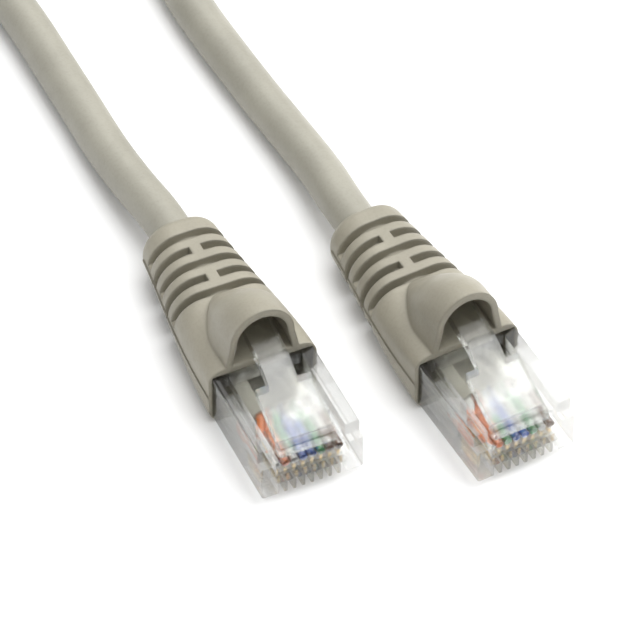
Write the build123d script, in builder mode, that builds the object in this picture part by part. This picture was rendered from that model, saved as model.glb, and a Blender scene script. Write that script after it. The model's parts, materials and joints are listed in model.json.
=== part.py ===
"""Network patch cord: two booted eight-way modular plugs on one round data cable.

Frame: +Z up, Z = 0 is the surface the cord lies on, +Y runs from the plug noses towards the cable.
The origin is on that surface, under the middle of the two plugs and their boots.
Each plug end is modelled in its own end frame, with the nose face at Y = 0, the plug's width along X
and its contact side at Z = 0, and is then set down at its place beside the other end.
"""

import math
import os

from build123d import *

os.makedirs("parts", exist_ok=True)

# ---------------------------------------------------------------- plug housing (millimetres)
PLUG_WIDTH = 11.68
PLUG_LENGTH = 21.5
PLUG_HEIGHT = 6.1
NOSE_HEIGHT = 4.5  # height of the corner blocks at the nose
RAIL_FRONT = 1.1  # the side rails start this far behind the nose
RAIL_WIDTH = 1.65
RECESS_FLOOR = 4.6  # floor of the latch recess between the rails
RECESS_END = 12.4
CHIN_HEIGHT = 2.9  # upright part of the nose face between the corner blocks
EDGE_ROUND = 0.25
TAIL_START = 13.5  # behind here the body narrows a little, inside the boot
TAIL_WIDTH = 10.6
TAIL_HEIGHT = 5.9
TAIL_ROUND = 1.2
CUT_OVER = 1.0  # how far open cuts run past the faces they leave through

# ---------------------------------------------------------------- contacts and wires
WAYS = 8
PITCH = 1.02
SLOT_WIDTH = 0.74
SLOT_HEIGHT = 1.7
SLOT_END = 5.0
BLADE_THICKNESS = 0.35
BLADE_FRONT = 1.5
BLADE_BACK = 4.7
BLADE_BOTTOM = 0.55
BLADE_SHOULDER = 2.5
BLADE_TIP = 3.1
TOOTH_HALF = 0.4
WIRE_DIAMETER = 0.9
WIRE_BORE = 0.94
WIRE_FRONT = 1.25
WIRE_HEIGHT = 2.95
WIRE_FAN_START = 5.7
WIRE_FAN_END = 7.6
WIRE_BACK = 10.3
WIRE_BEND = 1.1
BUNDLE_SQUEEZE = 0.7  # the row narrows to this share of its width inside the jacket
BUNDLE_RISE = 0.48  # wires lie in two layers, this far above and below the middle
WIRE_NAMES = (
    "white_orange",
    "orange",
    "white_green",
    "blue",
    "white_blue",
    "green",
    "white_brown",
    "brown",
)

# ---------------------------------------------------------------- cable and jacket
CABLE_DIAMETER = 4.8
JACKET_FRONT = 8.1
JACKET_FLAT_WIDTH = 7.0
JACKET_FLAT_HEIGHT = 3.2
JACKET_FLAT_ROUND = 1.58
JACKET_FLAT_END = 13.0
JACKET_ROUND_START = 16.4
JACKET_ROUND_RADIUS = 2.38
JACKET_BORE_WIDTH = 6.3
JACKET_BORE_HEIGHT = 2.1
JACKET_BORE_ROUND = 0.75
CAVITY_FRONT = 5.2
CAVITY_HALF_WIDTH = 4.3
CAVITY_FLOOR = 0.95
CAVITY_ROOF = 4.15
CAVITY_BEVEL = 0.9
CAVITY_STEP = 12.8
MOUTH_FLOOR_START = 13.4
MOUTH_ROOF_START = 15.0
MOUTH_FLOOR = 0.6
MOUTH_ROOF = 5.55
WEDGE_FRONT = 9.4
WEDGE_BACK = 12.2
WEDGE_HALF_WIDTH = 3.0
WEDGE_GAP = 0.3
WEDGE_BACK_BOTTOM = 0.35
WEDGE_FRONT_BOTTOM = 0.55

# ---------------------------------------------------------------- latch
LATCH_WIDTH = 6.3
TAB_WIDTH = 3.3
KNUCKLE_Y = 1.75
KNUCKLE_Z = 4.75
KNUCKLE_RADIUS = 0.9
KNUCKLE_GAP = 0.06
LATCH_THICKNESS = 1.1
SHOULDER_Y = 7.6
SHOULDER_Z = 8.35
TAB_BEND_Y = 9.9
TAB_BEND_Z = 9.75
TAB_END_Y = 15.6
TAB_END_Z = 11.0
TAB_UNDER_BEND = (10.4, 8.5)
TAB_UNDER_END = (15.85, 9.9)

# ---------------------------------------------------------------- boot
BOOT_FRONT = 12.8
BOOT_BACK = 35.8
BOOT_HEIGHT = 7.6
BOOT_MIDDLE = 3.1
BOOT_SECTIONS = (  # distance behind the nose, width, corner radius
    (12.8, 12.5, 1.8),
    (17.4, 12.35, 2.4),
    (22.4, 11.65, 3.2),
    (29.5, 10.0, 3.65),
    (35.8, 8.7, 3.75),
)
COLLAR_ROUND = 1.3
SEAM_PROUD = 0.14
SEAM_HEIGHT = 0.3
HOOD_BASE = 6.6
HOOD_FLOOR = 6.95
HOOD_SECTIONS = (  # distance behind the nose, half width, height of the straight side, top
    (12.8, 3.7, 9.6, 13.8),
    (15.2, 3.8, 9.4, 13.3),
    (17.8, 3.7, 8.8, 12.0),
    (20.2, 3.0, 7.8, 10.0),
    (22.2, 1.9, 7.2, 7.9),
    (23.1, 1.1, 6.8, 7.0),
)
HOOD_FLARE = 0.2  # how far the straight sides lean out, per millimetre of their height
HOOD_SIDE_WALL = 0.75
HOOD_TOP_WALL = 0.95
HOOD_CAVITY_END = 3  # the hollow follows the hood's first sections, up to this one
GROOVE_WIDTH = 1.05
GROOVE_PITCH = 2.2
GROOVE_FIRST = 23.75
GROOVE_COUNT = 5
GROOVE_CORE_WIDTH = 6.4
GROOVE_CORE_HEIGHT = 5.8
GROOVE_BRIDGE = 1.3

# ---------------------------------------------------------------- where the two ends lie
LIFT = BOOT_HEIGHT / 2 - BOOT_MIDDLE
SPLAY = 4.2  # degrees that end B turns away from end A
END_A = Location((-10.503, -14.315, LIFT))
END_B = Location((11.087, -21.075, LIFT), (0, 0, SPLAY))
ENDS = {"a": END_A, "b": END_B}

# ---------------------------------------------------------------- free cable
HANK_CENTRE = (-2.65, 118.5)
HANK_RADIUS = 16.8  # middle of the bundle of turns, at the two folds
HANK_STRAIGHT = 41.0
HANK_BUNDLE = 2 * CABLE_DIAMETER  # the turns lie two side by side, in two layers
HANK_ROUND = 2.0
LEAD_A = (
    (-10.503, 21.485, 3.8),
    (-10.503, 25.6, 3.8),
    (-11.15, 31.5, 3.25),
    (-11.5, 38.5, 2.65),
    (-11.45, 46.0, 2.4),
    (-11.6, 54.0, 2.4),
    (-11.7, 61.5, 2.4),
    (-12.3, 68.0, 2.4),
    (-14.6, 75.0, 2.4),
    (-18.0, 82.0, 2.4),
    (-20.6, 88.5, 2.4),
    (-21.6, 94.0, 2.4),
)
LEAD_B = (
    (8.4651, 14.6289, 3.8),
    (8.1575, 18.8176, 3.8),
    (8.45, 24.6, 3.3),
    (8.1, 31.5, 2.7),
    (7.5, 38.8, 2.4),
    (6.9, 46.5, 2.4),
    (6.4, 54.5, 2.4),
    (6.5, 62.0, 2.4),
    (7.7, 69.0, 2.7),
    (10.1, 75.8, 3.8),
    (13.2, 82.3, 5.6),
    (15.4, 88.5, 6.8),
    (16.4, 94.0, 7.2),
)
BEND_SHARE = 0.45


def across(y):
    """Plane square to the plug's axis, y behind the nose, with its own axes along X and Z."""
    return Plane.XZ.offset(-y)


def way_x(way):
    """Sideways place of contact way 1 to 8; way 1 is at the left of a plug seen latch up, nose near."""
    return (way - (WAYS + 1) / 2) * PITCH


def wire_route(way):
    """Middle line of one insulated wire, from under its contact into the cut end of the jacket."""
    x = way_x(way)
    inner_x = x * BUNDLE_SQUEEZE
    layer = BUNDLE_RISE if way % 2 else -BUNDLE_RISE
    bundle_z = (CAVITY_FLOOR + CAVITY_ROOF) / 2 + layer
    return [
        (x, WIRE_FRONT, WIRE_HEIGHT),
        (x, WIRE_FAN_START, WIRE_HEIGHT),
        (inner_x, WIRE_FAN_END, bundle_z),
        (inner_x, WIRE_BACK, bundle_z),
    ]


def make_contact(way):
    """Stamped contact blade: rounded front corner, two teeth that pierce the wire's insulation."""
    front_tooth = BLADE_FRONT + 2 * TOOTH_HALF
    back_tooth = BLADE_BACK - 2 * TOOTH_HALF
    nose_round = 2 * TOOTH_HALF
    with BuildPart() as contact:
        with BuildSketch(Plane.YZ.offset(way_x(way))):
            with BuildLine():
                Polyline(
                    (BLADE_FRONT, BLADE_BOTTOM + nose_round),
                    (BLADE_FRONT, BLADE_SHOULDER),
                    (front_tooth - TOOTH_HALF, BLADE_SHOULDER),
                    (front_tooth, BLADE_TIP),
                    (front_tooth + TOOTH_HALF, BLADE_SHOULDER),
                    (back_tooth - TOOTH_HALF, BLADE_SHOULDER),
                    (back_tooth, BLADE_TIP),
                    (back_tooth + TOOTH_HALF, BLADE_SHOULDER),
                    (BLADE_BACK, BLADE_SHOULDER),
                    (BLADE_BACK, BLADE_BOTTOM),
                    (BLADE_FRONT + nose_round, BLADE_BOTTOM),
                )
                RadiusArc(
                    (BLADE_FRONT + nose_round, BLADE_BOTTOM),
                    (BLADE_FRONT, BLADE_BOTTOM + nose_round),
                    nose_round,
                )
            make_face()
        extrude(amount=BLADE_THICKNESS / 2, both=True)
    return contact.part


def make_wire(way, contact):
    """Insulated conductor with the two slits that its contact's teeth cut."""
    points = wire_route(way)
    with BuildPart() as wire:
        with BuildLine():
            route = FilletPolyline(*points, radius=WIRE_BEND)
        with BuildSketch(Plane(route @ 0, z_dir=route % 0)):
            Circle(WIRE_DIAMETER / 2)
        sweep(path=route)
        add(contact, mode=Mode.SUBTRACT)
    return wire.part


def make_tail():
    """Outer shape of the plug body's back, which narrows towards rounded corners."""
    with BuildPart() as tail:
        with BuildSketch(across(TAIL_START)):
            with Locations((0, PLUG_HEIGHT / 2)):
                RectangleRounded(PLUG_WIDTH, PLUG_HEIGHT, EDGE_ROUND)
        with BuildSketch(across(PLUG_LENGTH)):
            with Locations((0, PLUG_HEIGHT / 2)):
                RectangleRounded(TAIL_WIDTH, TAIL_HEIGHT, TAIL_ROUND)
        loft(ruled=True)
    return tail.part


def make_housing():
    """Clear moulded plug body with its rails, contact slots, wire bores, cable hollow and wedge."""
    rail_x = PLUG_WIDTH / 2 - RAIL_WIDTH
    tail = make_tail()
    with BuildPart() as housing:
        with BuildSketch(Plane.YZ):
            with BuildLine():
                Polyline(
                    (0, 0),
                    (TAIL_START, 0),
                    (TAIL_START, PLUG_HEIGHT),
                    (RAIL_FRONT, PLUG_HEIGHT),
                    (RAIL_FRONT, NOSE_HEIGHT),
                    (0, NOSE_HEIGHT),
                    close=True,
                )
            make_face()
        extrude(amount=PLUG_WIDTH / 2, both=True)
        fillet(housing.edges().filter_by(Axis.Y).group_by(Axis.Z)[-1], EDGE_ROUND)
        fillet(housing.edges().filter_by(Axis.Y).group_by(Axis.Z)[0], EDGE_ROUND)
        fillet(housing.edges().filter_by(Axis.Z).group_by(Axis.Y)[0], EDGE_ROUND)
        add(tail)

        # Recess between the rails; in front it rolls down over the nose to the chin.
        with BuildSketch(Plane.YZ):
            with BuildLine():
                Polyline(
                    (0, CHIN_HEIGHT),
                    (-CUT_OVER, CHIN_HEIGHT),
                    (-CUT_OVER, PLUG_HEIGHT + CUT_OVER),
                    (RECESS_END, PLUG_HEIGHT + CUT_OVER),
                    (RECESS_END, RECESS_FLOOR),
                    (KNUCKLE_Y, RECESS_FLOOR),
                )
                RadiusArc((KNUCKLE_Y, RECESS_FLOOR), (0, CHIN_HEIGHT), RECESS_FLOOR - CHIN_HEIGHT)
            make_face()
        extrude(amount=rail_x, both=True, mode=Mode.SUBTRACT)

        # Round seat of the latch's flexing root.
        with BuildSketch(Plane.YZ):
            with Locations((KNUCKLE_Y, KNUCKLE_Z)):
                Circle(KNUCKLE_RADIUS + KNUCKLE_GAP)
        extrude(amount=LATCH_WIDTH / 2 + KNUCKLE_GAP, both=True, mode=Mode.SUBTRACT)

        for way in range(1, WAYS + 1):
            with BuildSketch(Plane.XY):
                with Locations((way_x(way), SLOT_END / 2)):
                    Rectangle(SLOT_WIDTH, SLOT_END)
            extrude(amount=SLOT_HEIGHT, mode=Mode.SUBTRACT)
            with BuildSketch(Plane.XY):
                with Locations((way_x(way), (BLADE_FRONT + BLADE_BACK) / 2)):
                    Rectangle(BLADE_THICKNESS, BLADE_BACK - BLADE_FRONT)
            extrude(amount=WIRE_HEIGHT, mode=Mode.SUBTRACT)
            with BuildSketch(across(WIRE_FRONT)):
                with Locations((way_x(way), WIRE_HEIGHT)):
                    Circle(WIRE_BORE / 2)
            extrude(amount=-(CAVITY_FRONT - WIRE_FRONT), mode=Mode.SUBTRACT)

        # Hollow for the fanned wires and the flattened jacket, opening out towards the back.
        with BuildSketch(Plane.YZ):
            with BuildLine():
                Polyline(
                    (CAVITY_FRONT, CAVITY_FLOOR + CAVITY_BEVEL),
                    (CAVITY_FRONT, CAVITY_ROOF),
                    (CAVITY_STEP, CAVITY_ROOF),
                    (MOUTH_ROOF_START, MOUTH_ROOF),
                    (PLUG_LENGTH, MOUTH_ROOF),
                    (PLUG_LENGTH, MOUTH_FLOOR),
                    (MOUTH_FLOOR_START, MOUTH_FLOOR),
                    (CAVITY_STEP, CAVITY_FLOOR),
                    (CAVITY_FRONT + CAVITY_BEVEL, CAVITY_FLOOR),
                    close=True,
                )
            make_face()
        extrude(amount=CAVITY_HALF_WIDTH, both=True, mode=Mode.SUBTRACT)

        # Window in the contact side, and the wedge swung up through it against the jacket.
        with BuildSketch(Plane.XY):
            with Locations((0, (WEDGE_FRONT + WEDGE_BACK) / 2)):
                Rectangle(2 * (WEDGE_HALF_WIDTH + WEDGE_GAP), WEDGE_BACK - WEDGE_FRONT)
        extrude(amount=CAVITY_FLOOR, mode=Mode.SUBTRACT)
        with BuildSketch(Plane.YZ):
            with BuildLine():
                Polyline(
                    (WEDGE_BACK, WEDGE_BACK_BOTTOM),
                    (WEDGE_BACK, CAVITY_FLOOR),
                    (WEDGE_FRONT + WEDGE_GAP, CAVITY_FLOOR),
                    (WEDGE_FRONT + WEDGE_GAP, WEDGE_FRONT_BOTTOM),
                    close=True,
                )
            make_face()
        extrude(amount=WEDGE_HALF_WIDTH, both=True)
    return housing.part


def make_latch():
    """Flexing latch: round root, wide front with locking shoulders, narrow bent tab."""
    slope = math.atan2(SHOULDER_Z - KNUCKLE_Z - KNUCKLE_RADIUS, SHOULDER_Y - KNUCKLE_Y)
    crest = (KNUCKLE_Y - KNUCKLE_RADIUS * math.sin(slope), KNUCKLE_Z + KNUCKLE_RADIUS * math.cos(slope))
    belly = (crest[0] + LATCH_THICKNESS * math.sin(slope), crest[1] - LATCH_THICKNESS * math.cos(slope))
    under_shoulder = (SHOULDER_Y, SHOULDER_Z - LATCH_THICKNESS / math.cos(slope))
    with BuildPart() as latch:
        with BuildSketch(Plane.YZ):
            with BuildLine():
                Polyline(crest, (SHOULDER_Y, SHOULDER_Z), under_shoulder, belly, close=True)
            make_face()
            with Locations((KNUCKLE_Y, KNUCKLE_Z)):
                Circle(KNUCKLE_RADIUS)
        extrude(amount=LATCH_WIDTH / 2, both=True)
        with BuildSketch(Plane.YZ):
            with BuildLine():
                Polyline(
                    (SHOULDER_Y, SHOULDER_Z),
                    (TAB_BEND_Y, TAB_BEND_Z),
                    (TAB_END_Y, TAB_END_Z),
                    TAB_UNDER_END,
                    TAB_UNDER_BEND,
                    under_shoulder,
                    close=True,
                )
            make_face()
        extrude(amount=TAB_WIDTH / 2, both=True)
        fillet(latch.edges().filter_by(Axis.X).group_by(Axis.Y)[-1], EDGE_ROUND)
    return latch.part


def boot_section(y, width, radius, grow=0.0):
    """Rounded cross-section of the boot, made wider on both sides by grow."""
    with BuildSketch(across(y)) as section:
        with Locations((0, BOOT_MIDDLE)):
            RectangleRounded(width + 2 * grow, BOOT_HEIGHT, radius)
    return section.sketch


def hood_section(y, half_width, side_top, top, wall=0.0, roof=0.0, base=HOOD_BASE):
    """Arch-shaped cross-section of the hood, or of its hollow when wall and roof are given."""
    half = half_width - wall
    foot = half + HOOD_FLARE * (side_top - base)
    rise = top - roof - side_top
    with BuildSketch(across(y)) as section:
        with BuildLine():
            Polyline((-half, side_top), (-foot, base), (foot, base), (half, side_top))
            EllipticalCenterArc((0, side_top), half, rise, start_angle=0, arc_size=180)
        make_face()
    return section.sketch


def make_groove_ring(y, bridged_above):
    """One groove of the strain relief, as a ring around its core that stops at two bridges."""
    reach = 2 * PLUG_WIDTH
    bridge = (GROOVE_BRIDGE, reach) if bridged_above else (reach, GROOVE_BRIDGE)
    with BuildPart() as ring:
        with BuildSketch(across(y - GROOVE_WIDTH / 2)):
            with Locations((0, BOOT_MIDDLE)):
                Rectangle(reach, reach)
                Ellipse(GROOVE_CORE_WIDTH / 2, GROOVE_CORE_HEIGHT / 2, mode=Mode.SUBTRACT)
                Rectangle(*bridge, mode=Mode.SUBTRACT)
        extrude(amount=-GROOVE_WIDTH)
    return ring.part


def make_grooves():
    """All grooves; the first is bridged at the sides, the next above and below, and so on."""
    return [
        make_groove_ring(GROOVE_FIRST + GROOVE_PITCH * index, index % 2 == 1)
        for index in range(GROOVE_COUNT)
    ]


def make_seam():
    """Low bead that the mould's parting line leaves along both sides of the boot."""
    with BuildPart() as seam:
        for section in BOOT_SECTIONS:
            add(boot_section(*section, grow=SEAM_PROUD))
        loft()
        with Locations((0, BOOT_BACK / 2, BOOT_MIDDLE)):
            Box(2 * PLUG_WIDTH, BOOT_BACK - 2 * COLLAR_ROUND, SEAM_HEIGHT, mode=Mode.INTERSECT)
    return seam.part


def make_boot():
    """Moulded boot: sleeve over the plug's back, hood over the latch tab, ribbed strain relief."""
    grooves = make_grooves()
    seam = make_seam()
    tail = make_tail()
    with BuildPart() as boot:
        for section in BOOT_SECTIONS:
            add(boot_section(*section))
        loft()
        fillet(boot.faces().sort_by(Axis.Y)[-1].edges(), COLLAR_ROUND)
        add(seam)
        for groove in grooves:
            add(groove, mode=Mode.SUBTRACT)
        for section in HOOD_SECTIONS:
            add(hood_section(*section))
        loft()
        for section in HOOD_SECTIONS[: HOOD_CAVITY_END + 1]:
            add(hood_section(*section, HOOD_SIDE_WALL, HOOD_TOP_WALL, HOOD_FLOOR))
        loft(mode=Mode.SUBTRACT)

        # Pocket for the back of the plug, then the bore for the cable.
        with BuildSketch(across(BOOT_FRONT)):
            with Locations((0, PLUG_HEIGHT / 2)):
                RectangleRounded(PLUG_WIDTH, PLUG_HEIGHT, EDGE_ROUND)
        extrude(amount=-(TAIL_START - BOOT_FRONT), mode=Mode.SUBTRACT)
        add(tail, mode=Mode.SUBTRACT)
        with BuildSketch(across(PLUG_LENGTH)):
            with Locations((0, BOOT_MIDDLE)):
                Circle(CABLE_DIAMETER / 2)
        extrude(amount=-(BOOT_BACK - PLUG_LENGTH), mode=Mode.SUBTRACT)
    return boot.part


def make_jacket_end():
    """End of the cable's jacket: cut square, squashed flat in the plug, round through the boot."""
    flat_z = (CAVITY_FLOOR + CAVITY_ROOF) / 2
    with BuildPart() as jacket:
        for y in (JACKET_FRONT, JACKET_FLAT_END):
            with BuildSketch(across(y)):
                with Locations((0, flat_z)):
                    RectangleRounded(JACKET_FLAT_WIDTH, JACKET_FLAT_HEIGHT, JACKET_FLAT_ROUND)
        with BuildSketch(across(JACKET_ROUND_START)):
            with Locations((0, BOOT_MIDDLE)):
                RectangleRounded(CABLE_DIAMETER, CABLE_DIAMETER, JACKET_ROUND_RADIUS)
        loft(ruled=True)
        with BuildSketch(across(JACKET_ROUND_START)):
            with Locations((0, BOOT_MIDDLE)):
                Circle(CABLE_DIAMETER / 2)
        extrude(amount=-(BOOT_BACK - JACKET_ROUND_START))
        with BuildSketch(across(JACKET_FRONT)):
            with Locations((0, flat_z)):
                RectangleRounded(JACKET_BORE_WIDTH, JACKET_BORE_HEIGHT, JACKET_BORE_ROUND)
        extrude(amount=-(WIRE_BACK - JACKET_FRONT), mode=Mode.SUBTRACT)
    return jacket.part


def bend_radii(points):
    """Largest radius that the two runs at each inner point leave room for, by the bend share."""
    radii = []
    for before, here, after in zip(points, points[1:], points[2:]):
        run_in = Vector(here) - Vector(before)
        run_out = Vector(after) - Vector(here)
        half_turn = math.radians(run_in.get_angle(run_out)) / 2
        radii.append(BEND_SHARE * min(run_in.length, run_out.length) / math.tan(half_turn))
    return radii


def make_lead(name, points):
    """Free cable from a boot to the hank, as straight runs joined by tangent arcs."""
    radii = bend_radii(points)
    with BuildPart() as lead:
        with BuildLine():
            route = FilletPolyline(*points, radius=radii)
        with BuildSketch(Plane(route @ 0, z_dir=route % 0)):
            Circle(CABLE_DIAMETER / 2)
        sweep(path=route)
    expected = math.pi * (CABLE_DIAMETER / 2) ** 2 * route.length
    print(name, "length", round(route.length, 2), "volume ratio", round(lead.part.volume / expected, 4))
    print(name, "radii", [round(radius, 1) for radius in radii])
    return lead.part


def make_hank():
    """Outer shape of the put-away turns of cable: a flat loop with two straight sides."""
    outer = 2 * HANK_RADIUS + HANK_BUNDLE
    inner = 2 * HANK_RADIUS - HANK_BUNDLE
    with BuildPart() as hank:
        with BuildSketch(Plane.XY):
            with Locations(HANK_CENTRE):
                SlotOverall(HANK_STRAIGHT + outer, outer, rotation=90)
                SlotOverall(HANK_STRAIGHT + inner, inner, rotation=90, mode=Mode.SUBTRACT)
        extrude(amount=HANK_BUNDLE)
        fillet(hank.edges().filter_by(Axis.Z, reverse=True), HANK_ROUND)
    return hank.part


def save(part, name):
    """Label one finished piece and write it to its own file."""
    part.label = name
    export_step(part, f"parts/{name}.step")


# ---------------------------------------------------------------- the pieces of one plug end
contacts = {way: make_contact(way) for way in range(1, WAYS + 1)}
pieces = {
    "plug_housing": make_housing(),
    "latch": make_latch(),
    "boot": make_boot(),
    "jacket_end": make_jacket_end(),
}
for way, colour in enumerate(WIRE_NAMES, start=1):
    pieces[f"contact_{way}"] = contacts[way]
    pieces[f"wire_{way}_{colour}"] = make_wire(way, contacts[way])

# ---------------------------------------------------------------- both ends, then the cable
corners = []
for end, place in ENDS.items():
    for piece_name, piece in pieces.items():
        placed = piece.moved(place)
        save(placed, f"{piece_name}_{end}")
        corners.append(placed.bounding_box())

save(make_lead("cable_lead_a", LEAD_A), "cable_lead_a")
save(make_lead("cable_lead_b", LEAD_B), "cable_lead_b")
save(make_hank(), "cable_hank")

for axis in ("X", "Y", "Z"):
    low = min(getattr(box.min, axis) for box in corners)
    high = max(getattr(box.max, axis) for box in corners)
    print("ends", axis, round(low, 3), "to", round(high, 3), "middle", round((low + high) / 2, 3))
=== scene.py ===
"""Network patch cord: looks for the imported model, in metres, in the frame of the CAD."""
import json
import math

import bpy
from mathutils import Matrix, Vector


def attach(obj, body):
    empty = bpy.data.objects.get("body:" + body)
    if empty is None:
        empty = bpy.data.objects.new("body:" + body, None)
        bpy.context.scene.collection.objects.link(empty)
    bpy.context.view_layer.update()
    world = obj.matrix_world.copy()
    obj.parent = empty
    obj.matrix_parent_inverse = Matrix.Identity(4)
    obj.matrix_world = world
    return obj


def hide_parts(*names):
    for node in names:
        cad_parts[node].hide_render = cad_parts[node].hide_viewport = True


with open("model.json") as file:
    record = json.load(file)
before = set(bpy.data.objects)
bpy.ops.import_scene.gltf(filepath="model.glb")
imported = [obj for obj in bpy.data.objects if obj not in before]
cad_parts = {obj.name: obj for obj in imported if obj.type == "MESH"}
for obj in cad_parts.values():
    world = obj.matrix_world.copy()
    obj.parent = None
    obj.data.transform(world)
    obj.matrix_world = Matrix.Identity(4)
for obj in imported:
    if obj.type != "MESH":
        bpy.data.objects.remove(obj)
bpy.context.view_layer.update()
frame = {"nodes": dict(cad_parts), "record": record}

MM = 0.001

# ---------------------------------------------------------------- camera
CAMERA_TARGET = Vector((-0.07, 6.84, 0.7)) * MM
CAMERA_FORWARD = Vector((0.28538, 0.62739, -0.72453))
CAMERA_DISTANCE = 0.6
CAMERA_LENS = 312.9
CAMERA_SENSOR = 36.0
CAMERA_CLIP = (0.01, 20.0)

camera_data = bpy.data.cameras.new("camera")
camera_data.lens = CAMERA_LENS
camera_data.sensor_width = CAMERA_SENSOR
camera_data.clip_start, camera_data.clip_end = CAMERA_CLIP
camera = bpy.data.objects.new("camera", camera_data)
camera.location = CAMERA_TARGET - CAMERA_FORWARD.normalized() * CAMERA_DISTANCE
camera.rotation_euler = CAMERA_FORWARD.to_track_quat("-Z", "Y").to_euler()
bpy.context.scene.collection.objects.link(camera)
bpy.context.scene.camera = camera

# ---------------------------------------------------------------- the free cable
CABLE_DIAMETER = 4.8
TUBE_RESOLUTION = 8  # of the cable's mesh, along each control point and round the tube
# Control points from the mouth of each boot to the hank, in millimetres.
LEAD_A = (
    (-10.503, 21.485, 3.8),
    (-10.503, 25.6, 3.8),
    (-11.15, 31.5, 3.25),
    (-11.5, 38.5, 2.65),
    (-11.45, 46.0, 2.4),
    (-11.6, 54.0, 2.4),
    (-11.7, 61.5, 2.4),
    (-12.3, 68.0, 2.4),
    (-14.6, 75.0, 2.4),
    (-18.0, 82.0, 2.4),
    (-20.6, 88.5, 2.4),
    (-21.6, 94.0, 2.4),
)
LEAD_B = (
    (8.4651, 14.6289, 3.8),
    (8.1575, 18.8176, 3.8),
    (8.45, 24.6, 3.3),
    (8.1, 31.5, 2.7),
    (7.5, 38.8, 2.4),
    (6.9, 46.5, 2.4),
    (6.4, 54.5, 2.4),
    (6.5, 62.0, 2.4),
    (7.7, 69.0, 2.7),
    (10.1, 75.8, 3.8),
    (13.2, 82.3, 5.6),
    (15.4, 88.5, 6.8),
    (16.4, 94.0, 7.2),
)
HANK_CENTRE = (-2.65, 118.5)
HANK_RADIUS = 16.8  # middle of the bundle of turns, at the two folds
HANK_STRAIGHT = 41.0
HANK_TURNS = 4
BUNDLE_RADIUS = CABLE_DIAMETER / math.sqrt(2)  # four cables side by side, from the bundle's middle
RUN_STEPS = 5  # control points along each straight side
FOLD_STEPS = 10  # control points round each fold


def hank_point(turn, side, share):
    """Point of one turn: side 0 runs out, 1 is the far fold, 2 runs back, 3 is the near fold.

    The bundle rolls a quarter over in each near fold, so that every turn takes the next one's place.
    """
    rolled = share if side == 3 else 0.0
    roll = math.radians(-45 - 90 * (turn + rolled))
    lowest = math.sin(math.radians(45 + 90 * min(rolled, 1 - rolled)))
    radius = HANK_RADIUS + BUNDLE_RADIUS * math.cos(roll)
    height = CABLE_DIAMETER / 2 + BUNDLE_RADIUS * (lowest + math.sin(roll))
    half_straight = HANK_STRAIGHT / 2
    if side % 2:
        way = 1 if side == 1 else -1
        x = -way * radius * math.cos(math.pi * share)
        y = way * (half_straight + radius * math.sin(math.pi * share))
    else:
        way = 1 if side == 0 else -1
        x = -way * radius
        y = way * HANK_STRAIGHT * (share - 0.5)
    return (HANK_CENTRE[0] + x, HANK_CENTRE[1] + y, height)


def hank_points():
    """All turns of the put-away cable, from the end of lead A to the end of lead B."""
    points = []
    for turn in range(HANK_TURNS):
        for side in range(4):
            steps = FOLD_STEPS if side % 2 else RUN_STEPS
            points += [hank_point(turn, side, step / steps) for step in range(steps)]
    left_over = FOLD_STEPS - 1  # the last turn has no near fold, only its first point
    return points[:-left_over]


def spline_mesh(points, radius=0.0):
    """One open smooth spline on control points in millimetres: its bare line, or a round tube along it."""
    data = bpy.data.curves.new("route", "CURVE")
    data.dimensions = "3D"
    spline = data.splines.new("NURBS")
    spline.points.add(len(points) - 1)
    for target, point in zip(spline.points, points):
        target.co = (*(Vector(point) * MM), 1)
    spline.order_u = 3
    spline.use_endpoint_u = True
    spline.resolution_u = TUBE_RESOLUTION
    data.bevel_depth = radius * MM
    data.bevel_resolution = TUBE_RESOLUTION
    data.use_fill_caps = True
    holder = bpy.data.objects.new("route", data)
    mesh = bpy.data.meshes.new_from_object(holder)
    bpy.data.objects.remove(holder)
    bpy.data.curves.remove(data)
    return mesh


cable_points = [*LEAD_A, *hank_points(), *reversed(LEAD_B)]
cable_line = [tuple(vertex.co) for vertex in spline_mesh(cable_points).vertices]
cable = bpy.data.objects.new("cable", spline_mesh(cable_points, CABLE_DIAMETER / 2))
cable.data.name = "cable"
cable.data.shade_smooth()
bpy.context.scene.collection.objects.link(cable)
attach(cable, "cord")
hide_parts("cable_lead_a", "cable_lead_b", "cable_hank")


# ---------------------------------------------------------------- materials
PLASTIC_IOR = 1.5
BEVEL_SAMPLES = 6
PAINTED_OUTLINE_SHADE_BLEND = 0.4  # how soon the painted shade darkens the clear plastic towards its outline
STRIPE_SCALE = 55.0
STRIPE_DISTORTION = 0.6


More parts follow.
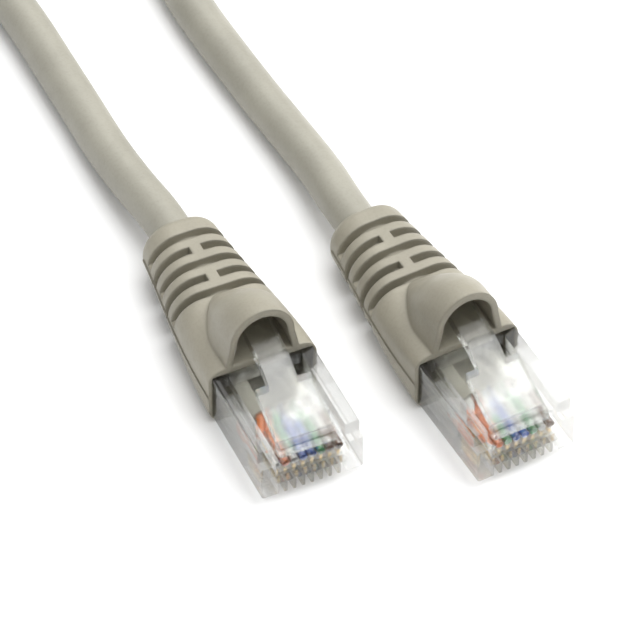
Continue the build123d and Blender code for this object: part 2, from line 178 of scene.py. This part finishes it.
class Material:
    """A node material with one main shader, and short calls for the nodes that feed it."""

    def __init__(self, name, **sockets):
        self.data = bpy.data.materials.new(name)
        self.data.use_nodes = True
        self.tree = self.data.node_tree
        self.shader = self.tree.nodes["Principled BSDF"]
        for socket, value in sockets.items():
            self.shader.inputs[socket.replace("_", " ")].default_value = value
        self.place = self.node("ShaderNodeTexCoord").outputs["Object"]

    def node(self, kind, **settings):
        made = self.tree.nodes.new(kind)
        for setting, value in settings.items():
            setattr(made, setting, value)
        return made

    def link(self, source, target):
        self.tree.links.new(source, target)

    def stretched(self, scale):
        """Object coordinates scaled by a different amount along each axis."""
        mapping = self.node("ShaderNodeMapping")
        mapping.inputs["Scale"].default_value = scale
        self.link(self.place, mapping.inputs["Vector"])
        return mapping.outputs["Vector"]

    def noise(self, size, detail, vector=None):
        """Noise with features of about this size in millimetres."""
        made = self.node("ShaderNodeTexNoise")
        made.inputs["Scale"].default_value = 1 / (size * MM)
        made.inputs["Detail"].default_value = detail
        self.link(vector or self.place, made.inputs["Vector"])
        return made.outputs["Fac"]

    def ramp(self, source, *stops):
        """Colours against a 0 to 1 source, each stop a position and a colour."""
        made = self.node("ShaderNodeValToRGB")
        ramp = made.color_ramp
        while len(ramp.elements) < len(stops):
            ramp.elements.new(0.5)
        for element, (position, colour) in zip(ramp.elements, stops):
            element.position = position
            element.color = (*colour, 1)
        self.link(source, made.inputs["Fac"])
        return made.outputs["Color"]

    def grey_ramp(self, source, low, high, start=0.3, end=0.7):
        """A plain value that goes from low to high while the source goes from start to end."""
        return self.ramp(source, (start, (low, low, low)), (end, (high, high, high)))

    def bump(self, *layers, rounding=0.0):
        """Stacks bump layers, each a height source and its depth, over edges that look rounded.

        Depths and the rounding are in millimetres.
        """
        normal = None
        if rounding:
            rounded = self.node("ShaderNodeBevel", samples=BEVEL_SAMPLES)
            rounded.inputs["Radius"].default_value = rounding * MM
            normal = rounded.outputs["Normal"]
        for source, depth in layers:
            made = self.node("ShaderNodeBump")
            made.inputs["Strength"].default_value = 1.0
            made.inputs["Distance"].default_value = depth * MM
            self.link(source, made.inputs["Height"])
            if normal:
                self.link(normal, made.inputs["Normal"])
            normal = made.outputs["Normal"]
        self.link(normal, self.shader.inputs["Normal"])


def shade(colour, factor):
    """The same colour, lighter or darker by a factor."""
    return tuple(channel * factor for channel in colour)


def moulded_pvc(name, colour, roughness, grain, rounding):
    """Soft PVC: slow colour drift, fine specks, matt patches and a fine moulded grain."""
    made = Material(name, IOR=PLASTIC_IOR, Specular_IOR_Level=0.42)
    drift = made.noise(7.0, 3.0)
    specks = made.noise(0.35, 2.0)
    base = made.ramp(drift, (0.35, shade(colour, 0.93)), (0.65, shade(colour, 1.05)))
    dirt = made.ramp(specks, (0.3, (0.94, 0.94, 0.94)), (0.55, (1.0, 1.0, 1.0)))
    mixed = made.node("ShaderNodeMix", data_type="RGBA", blend_type="MULTIPLY")
    mixed.inputs["Factor"].default_value = 1.0
    made.link(base, mixed.inputs["A"])
    made.link(dirt, mixed.inputs["B"])
    made.link(mixed.outputs["Result"], made.shader.inputs["Base Color"])
    made.link(
        made.grey_ramp(made.noise(1.6, 3.0), roughness - 0.07, roughness + 0.08),
        made.shader.inputs["Roughness"],
    )
    made.bump((made.noise(0.22, 3.0), grain), (made.noise(2.4, 2.0), grain * 3), rounding=rounding)
    return made


boot_pvc = moulded_pvc("boot_pvc", (0.33, 0.308, 0.245), 0.44, 0.012, 0.45)
jacket_pvc = moulded_pvc("jacket_pvc", (0.345, 0.332, 0.278), 0.42, 0.01, 0.0)
# Painted light: a paler copy of the jacket, for its end seen through the clear plugs.
jacket_painted_light_in_plug = moulded_pvc("jacket_painted_light_in_plug", (0.62, 0.60, 0.52), 0.5, 0.01, 0.0)


def clear_plastic(name, clearness, alpha, face_on, side_on_painted_shade):
    """Clear moulded plastic with painted shade that darkens it seen side-on, with faint flow lines and a
    few fine scuffs.
    """
    made = Material(
        name,
        IOR=PLASTIC_IOR,
        Transmission_Weight=clearness,
        Alpha=alpha,
        Specular_IOR_Level=0.9,
        Coat_Weight=1.0,
        Coat_Roughness=0.02,
    )
    flow = made.noise(2.6, 3.0, vector=made.stretched((1.0, 0.35, 1.0)))
    scuffs = made.noise(0.5, 4.0)
    # Painted shade: the base colour turns darker where the surface is seen side-on.
    facing = made.node("ShaderNodeLayerWeight")
    facing.inputs["Blend"].default_value = PAINTED_OUTLINE_SHADE_BLEND
    made.link(
        made.ramp(facing.outputs["Facing"], (0.3, face_on), (0.9, side_on_painted_shade)),
        made.shader.inputs["Base Color"],
    )
    made.link(made.grey_ramp(scuffs, 0.01, 0.05, 0.45, 0.75), made.shader.inputs["Roughness"])
    made.bump((flow, 0.03), (made.noise(0.4, 2.0), 0.004))
    return made


# The clear pieces have a second finish on their edges, with painted shade that draws them as dark lines.
clear = clear_plastic("clear_plastic", 1.0, 0.55, (0.96, 0.975, 0.95), (0.34, 0.38, 0.32))
# Painted shade: a dark, less clear copy of the clear plastic for the bevelled edges.
clear_painted_edge_shade = clear_plastic("clear_painted_edge_shade", 0.3, 0.75, (0.34, 0.37, 0.30), (0.20, 0.22, 0.17))


def gold_contact():
    """Gold-flashed blade with fine stamping lines and worn, paler patches."""
    made = Material("contact_gold", Metallic=1.0)
    wear = made.noise(0.5, 3.0)
    lines = made.noise(0.12, 2.0, vector=made.stretched((1.0, 0.1, 1.0)))
    made.link(
        made.ramp(wear, (0.4, (0.83, 0.60, 0.25)), (0.7, (0.90, 0.76, 0.48))),
        made.shader.inputs["Base Color"],
    )
    made.link(made.grey_ramp(lines, 0.18, 0.34), made.shader.inputs["Roughness"])
    made.bump((lines, 0.004))
    return made


def wire_insulation(name, colour, stripe=None):
    """Insulation of one wire: plain, or white with a coloured stripe wound round it."""
    made = Material(name, IOR=PLASTIC_IOR, Specular_IOR_Level=0.5)
    drift = made.noise(0.8, 3.0)
    if stripe:
        wave = made.node("ShaderNodeTexWave", wave_type="BANDS", bands_direction="DIAGONAL")
        wave.inputs["Scale"].default_value = STRIPE_SCALE
        wave.inputs["Distortion"].default_value = STRIPE_DISTORTION
        made.link(made.place, wave.inputs["Vector"])
        tint = made.ramp(wave.outputs["Fac"], (0.55, colour), (0.68, stripe))
    else:
        tint = made.ramp(drift, (0.3, shade(colour, 0.88)), (0.7, shade(colour, 1.08)))
    made.link(tint, made.shader.inputs["Base Color"])
    made.link(made.grey_ramp(drift, 0.32, 0.46), made.shader.inputs["Roughness"])
    made.bump((made.noise(0.18, 2.0), 0.006))
    return made


WHITE = (0.86, 0.85, 0.82)
COLOURS = {
    "orange": (0.86, 0.22, 0.04),
    "green": (0.05, 0.34, 0.10),
    "blue": (0.03, 0.12, 0.55),
    "brown": (0.20, 0.09, 0.04),
}
by_slot = {
    "clear_plastic": clear,
    "boot_pvc": boot_pvc,
    "jacket_pvc": jacket_pvc,
    "contact_gold": gold_contact(),
}
for colour_name, colour in COLOURS.items():
    by_slot[f"insulation_{colour_name}"] = wire_insulation(f"insulation_{colour_name}", colour)
    by_slot[f"insulation_white_{colour_name}"] = wire_insulation(
        f"insulation_white_{colour_name}", WHITE, colour
    )

# The jacket's end inside each plug carries painted light: a paler copy of the cable's jacket.
for subpart in frame["record"]["subparts"]:
    node = frame["nodes"][subpart["node"]]
    node.data.materials.clear()
    inside_plug = subpart["node"].startswith("jacket_end")
    finish = jacket_painted_light_in_plug if inside_plug else by_slot[subpart["material_slot"]]
    node.data.materials.append(finish.data)
cable.data.materials.append(jacket_pvc.data)

# Moulded edges of the clear pieces are a little round, and carry the painted edge shade.
CLEAR_EDGE = 0.12
PAINTED_EDGE_SHADE_SLOT = 1  # place of the painted edge shade in each clear piece's list of materials
EDGE_SEGMENTS = 2
EDGE_ANGLE = math.radians(40)

for end in "ab":
    for piece_name in ("plug_housing", "latch"):
        node = frame["nodes"][f"{piece_name}_{end}"]
        node.data.materials.append(clear_painted_edge_shade.data)
        bevel = node.modifiers.new("edge", "BEVEL")
        bevel.material = PAINTED_EDGE_SHADE_SLOT
        bevel.width = CLEAR_EDGE * MM
        bevel.segments = EDGE_SEGMENTS
        bevel.limit_method = "ANGLE"
        bevel.angle_limit = EDGE_ANGLE

# ---------------------------------------------------------------- floor, light and world
FLOOR_SIZE = 6.0
FLOOR_GRAIN = 120.0
# Place, size and power of each light.
LIGHTS = {
    "behind": ((0.257, 0.573, 0.65), 0.6, 1.5),
    "overhead": ((0.2, -0.1, 1.1), 0.8, 8.0),
    "right": ((0.8, 0.15, 0.5), 0.5, 5.0),
}
# The world is dark at the horizon and white overhead: height of the view direction, and grey.
SKY_STOPS = ((0.05, 0.15), (0.75, 1.0))
SKY_STRENGTH = 0.75

floor_mesh = bpy.data.meshes.new("floor")
half = FLOOR_SIZE / 2
floor_mesh.from_pydata(
    [(-half, -half, 0), (half, -half, 0), (half, half, 0), (-half, half, 0)],
    [],
    [(0, 1, 2, 3)],
)
floor = bpy.data.objects.new("floor", floor_mesh)
bpy.context.scene.collection.objects.link(floor)
paper = Material("floor_paper", Roughness=0.85, Specular_IOR_Level=0.1)
paper.link(
    paper.ramp(paper.noise(FLOOR_GRAIN, 2.0), (0.3, (0.93, 0.93, 0.93)), (0.7, (0.96, 0.96, 0.96))),
    paper.shader.inputs["Base Color"],
)
floor_mesh.materials.append(paper.data)


def area_light(name, place, size, power):
    """Square soft light that points at the middle of the two plugs."""
    data = bpy.data.lights.new(name, "AREA")
    data.shape = "SQUARE"
    data.size = size
    data.energy = power
    light = bpy.data.objects.new(name, data)
    light.location = place
    light.rotation_euler = (CAMERA_TARGET - Vector(place)).to_track_quat("-Z", "Y").to_euler()
    bpy.context.scene.collection.objects.link(light)


for light_name, settings in LIGHTS.items():
    area_light(light_name, *settings)

world = bpy.data.worlds.new("studio")
world.use_nodes = True
sky = world.node_tree
background = sky.nodes["Background"]
direction = sky.nodes.new("ShaderNodeTexCoord")
split = sky.nodes.new("ShaderNodeSeparateXYZ")
height_ramp = sky.nodes.new("ShaderNodeValToRGB")
for element, (position, grey) in zip(height_ramp.color_ramp.elements, SKY_STOPS):
    element.position = position
    element.color = (grey, grey, grey, 1.0)
sky.links.new(direction.outputs["Generated"], split.inputs["Vector"])
sky.links.new(split.outputs["Z"], height_ramp.inputs["Fac"])
sky.links.new(height_ramp.outputs["Color"], background.inputs["Color"])
background.inputs["Strength"].default_value = SKY_STRENGTH
bpy.context.scene.world = world
bpy.context.scene.view_settings.view_transform = "Standard"

bpy.context.view_layer.update()
